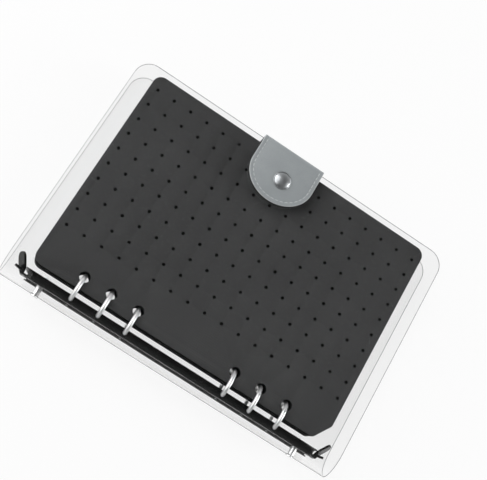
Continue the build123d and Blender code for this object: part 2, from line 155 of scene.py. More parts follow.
@dataclass(frozen=True)
class Finish:
    """A finish with its colour and gloss; each kind adds its own pattern.

    Args:
        name: The material's name.
        colour: Main colour, sRGB.
        second: Colour that the pattern mixes in, sRGB.
        roughness: Roughness of the surface.
    """

    name: str
    colour: str
    second: str
    roughness: float

    def material(self) -> bpy.types.Material:
        """Return the material, made on first use."""
        known = bpy.data.materials.get(self.name)
        if known:
            return known
        made = bpy.data.materials.new(self.name)
        made.use_nodes = True
        tree = made.node_tree
        tree.nodes.clear()
        shader = add_node(
            tree, "ShaderNodeBsdfPrincipled",
            inputs={"Base Color": linear(self.colour), "Roughness": self.roughness},
        )
        output = add_node(tree, "ShaderNodeOutputMaterial")
        place = add_node(tree, "ShaderNodeTexCoord").outputs["Object"]
        tree.links.new(self.surface(tree, shader, place), output.inputs["Surface"])
        made.diffuse_color = linear(self.colour)
        return made

    def surface(self, tree: Tree, shader: Node, place: Socket) -> Socket:
        """Build the pattern on the shader.

        Args:
            tree: The material's node tree.
            shader: Its main shader, with colour and roughness set.
            place: Object coordinates.

        Returns:
            The socket for the material's surface.
        """
        return shader.outputs[0]

    def noise(self, tree: Tree, place: Socket, size_mm: float, detail: float = 3.0) -> Socket:
        """Noise of one size, from 0 to 1.

        Args:
            tree: The material's node tree.
            place: Coordinates of the pattern.
            size_mm: Size of its patches in millimetres.
            detail: How many finer layers it has.

        Returns:
            The noise value.
        """
        inputs = {"Scale": per(size_mm), "Detail": detail}
        return add_node(tree, "ShaderNodeTexNoise", inputs=inputs, links={"Vector": place}).outputs[0]

    def tint(self, tree: Tree, shader: Node, share: Socket) -> None:
        """Mix the second colour into the first by a share.

        Args:
            tree: The material's node tree.
            shader: The main shader.
            share: Share of the second colour.
        """
        mixed = add_node(
            tree, "ShaderNodeMix", {"data_type": "RGBA"},
            {6: linear(self.colour), 7: linear(self.second)}, {0: share},
        ).outputs[2]
        tree.links.new(mixed, shader.inputs["Base Color"])

    def spread(
        self, tree: Tree, value: Socket, low: float, high: float, source: Pair = MIDDLE_SPAN
    ) -> Socket:
        """Spread a value between two limits.

        Args:
            tree: The material's node tree.
            value: The value to spread.
            low: Result at the source's low end.
            high: Result at the source's high end.
            source: Range of the value that is used.

        Returns:
            The spread value.
        """
        return add_node(
            tree, "ShaderNodeMapRange",
            inputs={"From Min": source[0], "From Max": source[1], "To Min": low, "To Max": high},
            links={"Value": value},
        ).outputs[0]

    def vary_gloss(
        self, tree: Tree, shader: Node, value: Socket, shares: Pair, source: Pair = MIDDLE_SPAN
    ) -> None:
        """Let the roughness follow a pattern.

        Args:
            tree: The material's node tree.
            shader: The main shader.
            value: The pattern.
            shares: Least and greatest roughness, as shares of the finish's own.
            source: Range of the pattern that is used.
        """
        low, high = (self.roughness * share for share in shares)
        tree.links.new(self.spread(tree, value, low, high, source), shader.inputs["Roughness"])

    def emboss(self, tree: Tree, shader: Node, height: Socket, depth_mm: float, strength: float) -> None:
        """Drive the shader's normal with a height.

        Args:
            tree: The material's node tree.
            shader: The main shader.
            height: Height pattern, 0 to 1.
            depth_mm: Depth of the pattern in millimetres.
            strength: Share of the full effect.
        """
        bump = add_node(
            tree, "ShaderNodeBump", inputs={"Strength": strength, "Distance": depth_mm * MM},
            links={"Height": height},
        )
        tree.links.new(bump.outputs[0], shader.inputs["Normal"])


@dataclass(frozen=True)
class CalenderedVinyl(Finish):
    """Clear soft PVC, calendered: glossy and faintly wavy, so that reflections bend in it."""

    ior: float = 1.36
    wave_mm: float = 38.0
    wave_depth_mm: float = 0.25
    wave_strength: float = 0.35
    haze_mm: float = 6.0
    haze_shares: Pair = (0.6, 1.6)
    light_through: str = "#f3f4f5"

    def surface(self, tree: Tree, shader: Node, place: Socket) -> Socket:
        """Clear sheet that lets light through to the pages; arguments as in Finish."""
        shader.inputs["Transmission Weight"].default_value = 1.0
        shader.inputs["IOR"].default_value = self.ior
        wave = self.noise(tree, place, self.wave_mm, detail=1.0)
        self.emboss(tree, shader, wave, self.wave_depth_mm, self.wave_strength)
        self.vary_gloss(tree, shader, self.noise(tree, place, self.haze_mm, detail=4.0), self.haze_shares)
        clear = add_node(tree, "ShaderNodeBsdfTransparent", inputs={"Color": linear(self.light_through)})
        ray = add_node(tree, "ShaderNodeLightPath")
        mixed = add_node(
            tree, "ShaderNodeMixShader",
            links={0: ray.outputs["Is Shadow Ray"], 1: shader.outputs[0], 2: clear.outputs[0]},
        )
        return mixed.outputs[0]


@dataclass(frozen=True)
class CutVinyl(Finish):
    """Die-cut edge of the PVC sheet: frosted, and dark with painted shade that stands in for the light
    trapped in the clear sheet, so that it draws the sheet's outline.
    """

    frost_mm: float = 0.4
    depth_mm: float = 0.02
    strength: float = 0.4
    transmission: float = 0.1
    ior: float = 1.4

    def surface(self, tree: Tree, shader: Node, place: Socket) -> Socket:
        """Frosted body with fine cutting marks; arguments as in Finish."""
        shader.inputs["Transmission Weight"].default_value = self.transmission
        shader.inputs["IOR"].default_value = self.ior
        marks = self.noise(tree, place, self.frost_mm)
        self.tint(tree, shader, self.spread(tree, marks, 0.0, 1.0))
        self.emboss(tree, shader, marks, self.depth_mm, self.strength)
        return shader.outputs[0]


@dataclass(frozen=True)
class PageCloth(Finish):
    """Dark polyester cloth on stiff board: matt, with a fine plain weave and a soft nap."""

    thread_mm: float = 0.7
    nap: float = 0.05
    nap_roughness: float = 0.5
    specular: float = 0.08
    patch_mm: float = 45.0
    patch_share: float = 0.55
    grain_mm: float = 1.2
    grain_share: float = 0.45
    wander: float = 0.6
    weave_share: float = 0.5
    depth_mm: float = 0.06
    strength: float = 0.6

    def surface(self, tree: Tree, shader: Node, place: Socket) -> Socket:
        """Weave, patchy shade and nap; arguments as in Finish."""
        shader.inputs["Sheen Weight"].default_value = self.nap
        shader.inputs["Sheen Roughness"].default_value = self.nap_roughness
        shader.inputs["Specular IOR Level"].default_value = self.specular
        soft = self.noise(tree, place, self.patch_mm, detail=2.0)
        grain = self.noise(tree, place, self.grain_mm)
        both = add_node(
            tree, "ShaderNodeMath", {"operation": "MULTIPLY_ADD"}, {1: self.grain_share},
            {0: grain, 2: self.spread(tree, soft, 0.0, self.patch_share)},
        ).outputs[0]
        self.tint(tree, shader, both)
        across, along = [
            add_node(
                tree, "ShaderNodeTexWave", {"bands_direction": direction},
                {"Scale": per(self.thread_mm) / math.tau, "Distortion": self.wander}, {"Vector": place},
            ).outputs["Fac"]
            for direction in "XY"
        ]
        weave = add_node(
            tree, "ShaderNodeMath", {"operation": "MAXIMUM"}, links={0: across, 1: along}
        ).outputs[0]
        height = add_node(
            tree, "ShaderNodeMath", {"operation": "MULTIPLY_ADD"}, {1: self.weave_share},
            {0: weave, 2: grain},
        ).outputs[0]
        self.emboss(tree, shader, height, self.depth_mm, self.strength)
        return shader.outputs[0]


@dataclass(frozen=True)
class Lacquer(Finish):
    """Baked lacquer, oxide or dark plating on pressed steel, with a slight orange peel."""

    peel_mm: float = 1.6
    metal: float = 0.0
    specular: float = 0.22
    smear_mm: float = 14.0
    gloss_shares: Pair = (0.7, 1.5)
    depth_mm: float = 0.02
    strength: float = 0.25

    def surface(self, tree: Tree, shader: Node, place: Socket) -> Socket:
        """Orange peel and uneven gloss; arguments as in Finish."""
        shader.inputs["Metallic"].default_value = self.metal
        shader.inputs["Specular IOR Level"].default_value = self.specular
        smear = self.noise(tree, place, self.smear_mm, detail=4.0)
        self.tint(tree, shader, self.spread(tree, smear, 0.0, 1.0))
        self.vary_gloss(tree, shader, smear, self.gloss_shares)
        peel = self.noise(tree, place, self.peel_mm, detail=2.0)
        self.emboss(tree, shader, peel, self.depth_mm, self.strength)
        return shader.outputs[0]


@dataclass(frozen=True)
class PlatedMetal(Finish):
    """Nickel or chrome plating on steel: bright, with faint drawing marks and smudges."""

    mark_mm: float = 0.25
    depth_mm: float = 0.004
    strength: float = 0.4
    smudge_mm: float = 5.0
    gloss_shares: Pair = (0.7, 1.5)

    def surface(self, tree: Tree, shader: Node, place: Socket) -> Socket:
        """Smudged gloss and fine marks; arguments as in Finish."""
        shader.inputs["Metallic"].default_value = 1.0
        smudge = self.noise(tree, place, self.smudge_mm, detail=4.0)
        self.tint(tree, shader, self.spread(tree, smudge, 0.0, 1.0))
        self.vary_gloss(tree, shader, smudge, self.gloss_shares)
        marks = self.noise(tree, place, self.mark_mm, detail=2.0)
        self.emboss(tree, shader, marks, self.depth_mm, self.strength)
        return shader.outputs[0]


@dataclass(frozen=True)
class PolyurethaneLeather(Finish):
    """Artificial leather, embossed: satin, with small pebbles and soft shade changes."""

    pebble_mm: float = 0.9
    depth_mm: float = 0.05
    strength: float = 0.5
    specular: float = 0.45
    randomness: float = 0.9
    pebble_shade_share: float = 0.35
    patch_mm: float = 9.0
    patch_share: float = 0.5
    gloss_shares: Pair = (0.85, 1.2)
    gloss_source: Pair = (0.0, 0.8)
    fine_mm: float = 0.3

    def surface(self, tree: Tree, shader: Node, place: Socket) -> Socket:
        """Pebble grain, with painted shade that darkens its valleys, and a patchy tone; arguments as in
        Finish.
        """
        shader.inputs["Specular IOR Level"].default_value = self.specular
        pebble = add_node(
            tree, "ShaderNodeTexVoronoi", {"feature": "F1"},
            {"Scale": per(self.pebble_mm), "Randomness": self.randomness}, {"Vector": place},
        ).outputs["Distance"]
        soft = self.noise(tree, place, self.patch_mm)
        # Painted shade: the darker second colour gathers in the pebble valleys, and a random patchy tone is
        # mixed in
        share = add_node(
            tree, "ShaderNodeMath", {"operation": "MULTIPLY_ADD"}, {1: self.pebble_shade_share},
            {0: pebble, 2: self.spread(tree, soft, 0.0, self.patch_share)},
        ).outputs[0]
        self.tint(tree, shader, share)
        self.vary_gloss(tree, shader, pebble, self.gloss_shares, self.gloss_source)
        fine = self.noise(tree, place, self.fine_mm, detail=2.0)
        height = add_node(
            tree, "ShaderNodeMath", {"operation": "MULTIPLY_ADD"}, {1: -1.0}, {0: pebble, 2: fine}
        ).outputs[0]
        self.emboss(tree, shader, height, self.depth_mm, self.strength)
        return shader.outputs[0]


@dataclass(frozen=True)
class Fibre(Finish):
    """Brushed lining or sewing thread: matt fibres with a slight sheen."""

    fibre_mm: float = 0.35
    sheen: float = 0.3
    depth_mm: float = 0.05
    strength: float = 0.6

    def surface(self, tree: Tree, shader: Node, place: Socket) -> Socket:
        """Fibre grain in shade and height; arguments as in Finish."""
        shader.inputs["Sheen Weight"].default_value = self.sheen
        grain = self.noise(tree, place, self.fibre_mm, detail=4.0)
        self.tint(tree, shader, self.spread(tree, grain, 0.0, 1.0))
        self.emboss(tree, shader, grain, self.depth_mm, self.strength)
        return shader.outputs[0]


class Finishes(Enum):
    """The finishes of this book."""

    # Nearly clear, so that pages and rings show through it with only a soft gleam
    VINYL = CalenderedVinyl("clear_calendered_pvc", "#fafafa", "#fafafa", 0.03)
    # Painted shade: thin dark line round each cover, for the darkening of light in the clear sheet's cut
    # edge
    VINYL_EDGE_SHADE = CutVinyl("cut_pvc_edge_painted_shade", "#34373a", "#43474a", 0.35)
    # Even charcoal face that takes hardly any shine
    PAGE = PageCloth("dark_page_cloth", "#383838", "#404040", 0.9)
    # Painted shade: near black sides stand in for the shadow beside and between the boards, so that the
    # four boards read as a stack
    PAGE_EDGE_SHADE = PageCloth("page_edge_painted_shade", "#0c0c0c", "#121212", 0.95, nap=0.0)
    # Black with a small highlight along the casing's arch
    CASING = Lacquer("black_baked_lacquer", "#060606", "#0b0b0b", 0.2)
    # Near white rings with soft grey shading
    CHROME = PlatedMetal("satin_chrome_plate", "#ffffff", "#f4f4f4", 0.34)
    # Grey dome, light on one side and dark on the other
    NICKEL = PlatedMetal("nickel_plate", "#b4b7b9", "#a0a3a5", 0.34)
    # Dull black plates that stay in the casing's shade
    BLACKED = Lacquer("black_oxide_steel", "#070707", "#0c0c0d", 0.6, peel_mm=0.6, specular=0.05)
    # Dark gleaming ring round the stud
    DARK_PLATE = Lacquer("dark_plated_washer", "#17171a", "#222225", 0.28, peel_mm=0.9, metal=0.6)
    # Cool mid grey with a satin shine
    LEATHER = PolyurethaneLeather("grey_polyurethane_leather", "#9ba0a2", "#909597", 0.42)
    # Paler, smoother line round the strap
    EDGE = PolyurethaneLeather(
        "pale_edge_paint", "#c6c9ca", "#babdbe", 0.38, pebble_mm=0.5, depth_mm=0.02
    )
    # Darker, matt inner side of the strap
    LINING = Fibre("grey_brushed_lining", "#63686b", "#55595c", 0.9)
    # Pale dashes along the strap's edge
    THREAD = Fibre("pale_sewing_thread", "#cfd2d3", "#b6babb", 0.8, fibre_mm=0.1)

    def material(self) -> bpy.types.Material:
        """The Blender material of this finish."""
        return self.value.material()


# Making and dressing pieces


def make_piece(name: str, shape: Shape, finishes: list[Finishes]) -> bpy.types.Object:
    """Turn a bmesh into a finished object at the origin.

    Args:
        name: The piece's name.
        shape: Its mesh, which is freed.
        finishes: Its finishes, in the order of the faces' material numbers.

    Returns:
        The object.
    """
    mesh = bpy.data.meshes.new(name)
    shape.to_mesh(mesh)
    shape.free()
    for finish in finishes:
        mesh.materials.append(finish.material())
    mesh.shade_smooth()
    mesh.set_sharp_from_angle(angle=SMOOTH_ANGLE)
    piece = bpy.data.objects.new(name, mesh)
    bpy.context.collection.objects.link(piece)
    LOG.info("%s: %d faces", name, len(mesh.polygons))
    return piece


def dress(node: str, finish: Finishes) -> None:
    """Give a solid that stays its finish.

    Args:
        node: The solid's name.
        finish: The finish.
    """
    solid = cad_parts[node]
    if not solid.material_slots:
        solid.data.materials.append(finish.material())
    for place in solid.material_slots:
        place.material = finish.material()


def spun(profile: list[Pair], centre: Vector, steps: int) -> Shape:
    """Turn a profile about an upright axis.

    Args:
        profile: Radius and height of its points in millimetres, from the axis round to it.
        centre: Foot of the axis.
        steps: Number of steps of the full turn.

    Returns:
        A closed shape.
    """
    shape = bmesh.new()
    points = [shape.verts.new((radius * MM, 0.0, height * MM)) for radius, height in profile]
    for first, second in zip(points, points[1:]):
        shape.edges.new((first, second))
    bmesh.ops.spin(
        shape, geom=shape.verts[:] + shape.edges[:], cent=(0, 0, 0), axis=(0, 0, 1),
        angle=math.tau, steps=steps, use_merge=True, use_duplicate=False,
    )
    recalculate(shape)
    bmesh.ops.translate(shape, verts=shape.verts, vec=centre)
    return shape


# Cover


@dataclass
class Cover:
    """The clear sheet, bent once round the spine, in a back and a front piece."""

    length: float = 235.0
    sheet: float = 0.8
    fore_edge: float = 145.9
    corner: float = 11.0
    gap: float = 24.0
    bow_depth: float = 16.8
    bow_start: float = 1.1
    crease_height: float = 8.9
    crease_spread: float = 2.4
    corner_rows: int = 9
    flat_rows: int = 14
    bow_rows: int = 34
    columns: int = 46
    middle_gap: float = 0.02
    ripple: float = 0.1
    ripple_length: float = 83.0
    ripple_start: float = 20.0
    ripple_ramp: float = 60.0
    ripple_lean: float = 0.6
    cut_width: float = 0.28
    cut_segments: int = 2
    side_share: float = 0.5

    def section(self, side: int) -> list[Triple]:
        """Rows of the sheet from the fore-edge to the middle of the spine.

        Args:
            side: +1 for the front cover, -1 for the back cover.

        Returns:
            Y, Z and half width of each row, in millimetres from the ring centre.
        """
        height = side * (self.gap + self.sheet) / 2
        half = self.length / 2
        rows = []
        for number in range(self.corner_rows):
            turn = math.pi / 2 * number / self.corner_rows
            depth = self.corner * (1 - math.cos(turn))
            inset = self.corner * (1 - math.sin(turn))
            rows.append((self.fore_edge - depth, height, half - inset))
        start = self.fore_edge - self.corner
        for number in range(self.flat_rows):
            rows.append((start + (self.bow_start - start) * number / self.flat_rows, height, half))
        for number in range(self.bow_rows + 1):
            turn = math.pi / 2 * (1 - number / self.bow_rows)
            y = self.bow_start - self.bow_depth * math.cos(turn)
            z = side * max(side * height * math.sin(turn), self.middle_gap)
            rows.append((y, z, half))
        return rows

    def panel(self, side: int) -> Shape:
        """One cover with its half of the spine, as a closed thin shell.

        Args:
            side: +1 for the front cover, -1 for the back cover.

        Returns:
            The shell, with the cut edge's faces, which carry painted shade, numbered 1.
        """
        rows = self.section(side)
        shape = bmesh.new()
        bmesh.ops.create_grid(shape, x_segments=self.columns, y_segments=len(rows) - 1, size=0.5)
        for point in shape.verts:
            y, z, half_width = rows[round((point.co.y + 0.5) * (len(rows) - 1))]
            x = 2 * point.co.x * half_width
            share = min(max((y - self.ripple_start) / self.ripple_ramp, 0.0), 1.0)
            wave = math.sin(math.tau * (x + self.ripple_lean * y) / self.ripple_length)
            point.co = local(x, y, z + side * self.ripple * share * (wave - 1) / 2)
        bmesh.ops.recalc_face_normals(shape, faces=shape.faces)
        shape.normal_update()
        for point in shape.verts:
            point.co -= point.normal * self.sheet * MM / 2
        bmesh.ops.solidify(shape, geom=shape.faces[:], thickness=-self.sheet * MM)
        recalculate(shape)
        shape.normal_update()
        flat_from = local(0, self.bow_start, 0).y
        # The cut edge's faces take the dark painted shade of the edge finish
        for face in shape.faces:
            upright = face.calc_center_median().y > flat_from and abs(face.normal.z) < self.side_share
            face.material_index = int(upright or abs(face.normal.x) > self.side_share)
        return shape

    def build(self) -> None:
        """Make both pieces, already bent round the spine, in place of the solid cover parts."""
        finishes = [Finishes.VINYL, Finishes.VINYL_EDGE_SHADE]
        halves = ((-1, "back", ["back_cover", "spine_sheet"]), (1, "front", ["front_cover"]))
        for side, name, nodes in halves:
            piece = make_piece(f"cover_sheet_{name}", self.panel(side), finishes)
            bevel = piece.modifiers.new("soft_edges", "BEVEL")
            bevel.width = self.cut_width * MM
            bevel.segments = self.cut_segments
            # The rounded edges take the same painted shade
            bevel.material = finishes.index(Finishes.VINYL_EDGE_SHADE)
            bevel.limit_method = "ANGLE"
            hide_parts(*nodes)
            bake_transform(piece)


# Pages


@dataclass
class PinPage:
    """One punched page: cloth on board, six ring holes, a clipped corner and a pin grid."""

    number: int
    length: float = 210.0
    width: float = 144.0
    thick: float = 3.2
    spacing: float = 0.4
    corner: float = 6.0
    corner_segments: int = 8
    clip_x: float = 8.0
    clip_y: float = 12.0
    clip_soft: float = 2.5
    hole_edge: float = 8.0
    outer_hole_y: float = 8.27
    inner_hole_y: float = 9.1
    ring_hole: float = 3.5
    ring_hole_segments: int = 40
    pin_hole: float = 1.1
    pin_hole_segments: int = 12
    columns: int = 17
    rows: int = 10
    pitch_x: float = 12.43
    pitch_y: float = 11.7
    grid_shift: float = 9.6
    rim: float = 0.16
    side_share: float = 0.35

    @property
    def edge_y(self) -> float:
        """Y of the edge beside the rings."""
        outer = self.number in (1, PAGE_COUNT)
        return (self.outer_hole_y if outer else self.inner_hole_y) - self.hole_edge

    @property
    def bottom(self) -> float:
        """Height of the underside."""
        step = self.thick + self.spacing
        return (PAGE_COUNT * step - self.spacing) / 2 - self.thick - (self.number - 1) * step

    def corners(self) -> list[Triple]:
        """X, Y and radius of the outline's corners, anticlockwise."""
        x, low, high = self.length / 2, self.edge_y, self.edge_y + self.width
        return [
            (-x, low, self.corner),
            (x - self.clip_x, low, self.clip_soft),
            (x, low + self.clip_y, self.clip_soft),
            (x, high, self.corner),
            (-x, high, self.corner),
        ]

    def build(self) -> None:
        """Make the page and let it ride on its body."""
        shape = bmesh.new()
        outline(shape, self.corners(), self.corner_segments)
        bmesh.ops.delete(shape, geom=shape.faces[:], context="FACES_ONLY")
        for x in RingSet().places():
            self.punch(shape, x, self.edge_y + self.hole_edge, self.ring_hole, self.ring_hole_segments)
        middle = self.edge_y + self.width / 2 + self.grid_shift
        for column in range(self.columns):
            for row in range(self.rows):
                x = (column - (self.columns - 1) / 2) * self.pitch_x
                y = middle + (row - (self.rows - 1) / 2) * self.pitch_y
                self.punch(shape, x, y, self.pin_hole, self.pin_hole_segments)
        bmesh.ops.triangle_fill(shape, use_beauty=True, use_dissolve=False, edges=shape.edges)
        raised = bmesh.ops.extrude_face_region(shape, geom=shape.faces[:])["geom"]
        points = [item for item in raised if isinstance(item, bmesh.types.BMVert)]
        bmesh.ops.translate(shape, verts=points, vec=(0, 0, self.thick))
        recalculate(shape)
        rims = [e for e in shape.edges if len(e.link_faces) == 2 and e.calc_face_angle() > RIM_ANGLE]
        round_rims(shape, rims, self.rim)
        bmesh.ops.transform(
            shape, verts=shape.verts,
            matrix=Matrix.Translation(local(0, 0, self.bottom)) @ Matrix.Scale(MM, 4),
        )
        bmesh.ops.recalc_face_normals(shape, faces=shape.faces)
        # The page's sides get the near black painted shade, and its faces the charcoal cloth
        for face in shape.faces:
            face.material_index = int(abs(face.normal.z) < self.side_share)
        finishes = [Finishes.PAGE, Finishes.PAGE_EDGE_SHADE]
        piece = make_piece(f"page_board_{self.number}", shape, finishes)
        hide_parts(f"pin_page_{self.number}")
        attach(piece, f"page_{self.number}")

    def punch(self, shape: Shape, x: float, y: float, radius: float, segments: int) -> None:
        """Add the loop of one round hole.

        Args:
            shape: The page's outline.
            x: Place along the spine.
            y: Place across the page.
            radius: Radius of the hole.
            segments: Number of its edges.
        """
        bmesh.ops.create_circle(
            shape, cap_ends=False, radius=radius, segments=segments, matrix=Matrix.Translation((x, y, 0))
        )


def outline(shape: Shape, corners: list[Triple], segments: int) -> None:
    """Add one flat face whose corners are rounded.

    Args:
        shape: The bmesh that gets it.
        corners: X, Y and radius of each corner, anticlockwise.
        segments: Segments of each corner.
    """
    points = [shape.verts.new((x, y, 0)) for x, y, _ in corners]
    shape.faces.new(points)
    for number, (x, y, radius) in enumerate(corners):
        here = Vector((x, y))
        before = Vector(corners[number - 1][:2]) - here
        after = Vector(corners[(number + 1) % len(corners)][:2]) - here
        reach = radius / math.tan(before.angle(after) / 2)
        bmesh.ops.bevel(
            shape, geom=[points[number]], offset=reach, offset_type="OFFSET", segments=segments,
            profile=0.5, material=-1, affect="VERTICES",
        )


# Ring mechanism


@dataclass
class RingSet:
    """The six rings with the casing, plates, levers and rivets that carry them."""

    first: float = 35.0
    step: float = 19.0
    each_side: int = 3

    def places(self) -> list[float]:
        """X of each ring."""
        half = [self.first + number * self.step for number in range(self.each_side)]
        return [-x for x in reversed(half)] + half

    def build(self) -> None:
        """Dress the solids of the mechanism."""
        for number in range(1, 2 * self.each_side + 1):
            for half in ("upper", "lower"):
                dress(f"ring_{number}_{half}", Finishes.CHROME)
        for half in ("upper", "lower"):
            dress(f"hinge_plate_{half}", Finishes.BLACKED)
        dress("mechanism_casing", Finishes.CASING)
        for end in ("left", "right"):
            dress(f"trigger_{end}", Finishes.CASING)
            for node in ("spine_rivet", "rivet_spacer"):
                dress(f"{node}_{end}", Finishes.CHROME)


# Strap


@dataclass
class Strap:
    """The strap: leather outside and a brushed lining inside, each in two lengths."""

    x: float = -4.0
    width: float = 45.0
    leather: float = 1.0
    lining: float = 0.7
    lining_inset: float = 0.2
    lining_gap: float = 0.01
    base_start: float = 139.9
    fold_y: float = 146.9
    fold_bottom: float = -11.0
    fold_top: float = 15.25
    fold_radius: float = 1.0
    flap_reach: float = 36.4
    round_depth: float = 19.5
    round_segments: int = 112
    seam_inset: float = 2.2
    seam_width: float = 0.3
    seam_depth: float = 0.12
    rim: float = 0.28
    rim_share: float = 0.35
    side_share: float = 0.3
    overlap: float = 6.0
    fold_steps: int = 8
    bend_rows: tuple[float, ...] = (0.7, 1.4)
    bend_inset: float = 0.3
    bend_reach: float = 0.9
    lower_bend: float = 0.7
    upper_bend: float = 0.4
    cut_slack: float = 1e-5
    near: float = 1e-4
    near_split: float = 1e-3

    @property
    def lengths(self) -> list[float]:
        """Unrolled lengths of base, fold, wall, fold and straight flap."""
        quarter = math.pi / 2 * self.fold_radius
        return [
            self.fold_y - self.fold_radius - self.base_start,
            quarter,
            self.fold_top - self.fold_bottom - 2 * self.fold_radius,
            quarter,
            self.flap_reach - self.fold_radius - self.round_depth,
        ]

    def place(self, along: float, out: float) -> Pair:
        """Bend a point of the unrolled strap to its place.

        Args:
            along: Distance from the sewn end, along the face between leather and lining.
            out: Height over that face, towards the leather.

        Returns:
            Y and Z from the ring centre.
        """
        base, fold, wall, _, _ = self.lengths
        r = self.fold_radius
        if along <= base:
            return self.base_start + along, self.fold_bottom - out
        along -= base
        if along <= fold:
            turn = along / r
            return (
                self.fold_y - r + (r + out) * math.sin(turn),
                self.fold_bottom + r - (r + out) * math.cos(turn),
            )
        along -= fold
        if along <= wall:
            return self.fold_y + out, self.fold_bottom + r + along
        along -= wall
        if along <= fold:
            turn = along / r
            return (
                self.fold_y - r + (r + out) * math.cos(turn),
                self.fold_top - r + (r + out) * math.sin(turn),
            )
        return self.fold_y - r - (along - fold), self.fold_top + out

    def blank(self, inset: float, upper: bool) -> Shape:
        """Flat outline of one length of the strap, longer than needed at its cut end.

        Args:
            inset: How far its edges stand in from the leather's.
            upper: Whether it is the length with the flap.

        Returns:
            One face, with Y along the strap.
        """
        shape = bmesh.new()
        half = self.width / 2 - inset
        if not upper:
            end = self.split + self.overlap
            corners = [(-half, inset), (half, inset), (half, end), (-half, end)]
            shape.faces.new([shape.verts.new((x, y, 0)) for x, y in corners])
            return shape
        centre = sum(self.lengths)
        bmesh.ops.create_circle(shape, cap_ends=True, radius=1.0, segments=self.round_segments)
        bmesh.ops.scale(shape, vec=(half, self.round_depth - inset, 1), verts=shape.verts)
        bmesh.ops.translate(shape, vec=(0, centre, 0), verts=shape.verts)
        bmesh.ops.bisect_plane(
            shape, geom=shape.verts[:] + shape.edges[:] + shape.faces[:], plane_co=(0, centre, 0),
            plane_no=(0, 1, 0), clear_inner=True, dist=self.cut_slack,
        )
        straight = [e for e in shape.edges if all(abs(v.co.y - centre) < self.near for v in e.verts)]
        made = bmesh.ops.extrude_edge_only(shape, edges=straight)["geom"]
        points = [item for item in made if isinstance(item, bmesh.types.BMVert)]
        bmesh.ops.translate(shape, vec=(0, self.split - self.overlap - centre, 0), verts=points)
        bmesh.ops.recalc_face_normals(shape, faces=shape.faces)
        bmesh.ops.dissolve_edges(shape, edges=straight, use_verts=False)
        return shape

    @property
    def split(self) -> float:
        """Distance along the strap where its two lengths meet, in the middle of the wall."""
        base, fold, wall, _, _ = self.lengths
        return base + fold + wall / 2

    def layer(self, upper: bool, inset: float, low: float, high: float, seam: bool) -> Shape:
        """One layer of one length of the strap, bent to its place.

        Args:
            upper: Whether it is the length with the flap.
            inset: How far its edges stand in.
            low: Height of its face towards the lining's side.
            high: Height of its other face.
            seam: Whether its outer face has the sunk line of the seam.

        Returns:
            The closed shape, with the rim's faces numbered 1.
        """
        shape = self.blank(inset, upper)
        shape.faces.ensure_lookup_table()
        shape.normal_update()
        if shape.faces[0].normal.z < 0:
            bmesh.ops.reverse_faces(shape, faces=shape.faces)
        if seam:
            down, up = (self.seam_width, -self.seam_depth), (self.seam_width, self.seam_depth)
            for thickness, depth in ((self.seam_inset, 0.0), down, up):
                inner = [max(shape.faces, key=lambda face: face.calc_area())]
                bmesh.ops.inset_region(
                    shape, faces=inner, thickness=thickness, depth=depth,
                    use_boundary=True, use_even_offset=True,
                )
        base, fold, wall, _, _ = self.lengths
        start = base + fold + wall if upper else base
        cuts = [start + fold * step / self.fold_steps for step in range(self.fold_steps + 1)]
        cuts += [start - row for row in self.bend_rows] + [start + fold + row for row in self.bend_rows]
        for cut in [*cuts, self.split]:
            clear = cut == self.split
            bmesh.ops.bisect_plane(
                shape, geom=shape.verts[:] + shape.edges[:] + shape.faces[:], plane_co=(0, cut, 0),
                plane_no=(0, 1, 0), dist=self.cut_slack,
                clear_inner=clear and upper, clear_outer=clear and not upper,
            )
        top = shape.verts[:]
        made = bmesh.ops.extrude_face_region(shape, geom=shape.faces[:])["geom"]
        bottom = [item for item in made if isinstance(item, bmesh.types.BMVert)]
        for point in bottom:
            point.co.z = low
        for point in top:
            point.co.z += high
        recalculate(shape)
        rims = [e for e in shape.edges if self.is_rim(e)]
        for face in shape.faces:
            face.material_index = int(abs(face.normal.z) < self.side_share)
        for face in round_rims(shape, rims, min(self.rim, (high - low) * self.rim_share)):
            face.material_index = 1
        for point in shape.verts:
            y, z = self.place(point.co.y, point.co.z)
            point.co = local(self.x + point.co.x, y, z)
        bmesh.ops.recalc_face_normals(shape, faces=shape.faces)
        return shape

    def is_rim(self, edge: bmesh.types.BMEdge) -> bool:
        """Whether an edge lies on the layer's outline, away from its cut end."""
        if len(edge.link_faces) != 2 or edge.calc_face_angle() < RIM_ANGLE:
            return False
        flat = abs(edge.verts[0].co.z - edge.verts[1].co.z) < self.near
        return flat and not all(abs(v.co.y - self.split) < self.near_split for v in edge.verts)

    def build(self) -> None:
        """Make the four layers and bend them over the folds."""
        lengths = (
            ("lower", False, ("back_cover", "strap_wall"), ["strap_base", "strap_wall"],
             ["strap_base_lining", "strap_wall_lining"]),
            ("upper", True, ("strap_wall", "strap_flap"), ["strap_flap"], ["strap_flap_lining"]),
        )
        for name, upper, bodies, leather_nodes, lining_nodes in lengths:
            leather = make_piece(
                f"strap_leather_{name}", self.layer(upper, 0.0, 0.0, self.leather, True),
                [Finishes.LEATHER, Finishes.EDGE],
            )
            lining = make_piece(
                f"strap_lining_{name}",
                self.layer(upper, self.lining_inset, -self.lining, -self.lining_gap, False),
                [Finishes.LINING, Finishes.LINING],
            )
            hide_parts(*leather_nodes)
            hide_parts(*lining_nodes)
            height = self.fold_top - self.upper_bend if upper else self.fold_bottom + self.lower_bend
            corner = local(self.x, self.fold_y - self.bend_inset, height)
            for piece in (leather, lining):
                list(bodies)
                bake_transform(piece)


# Stitching


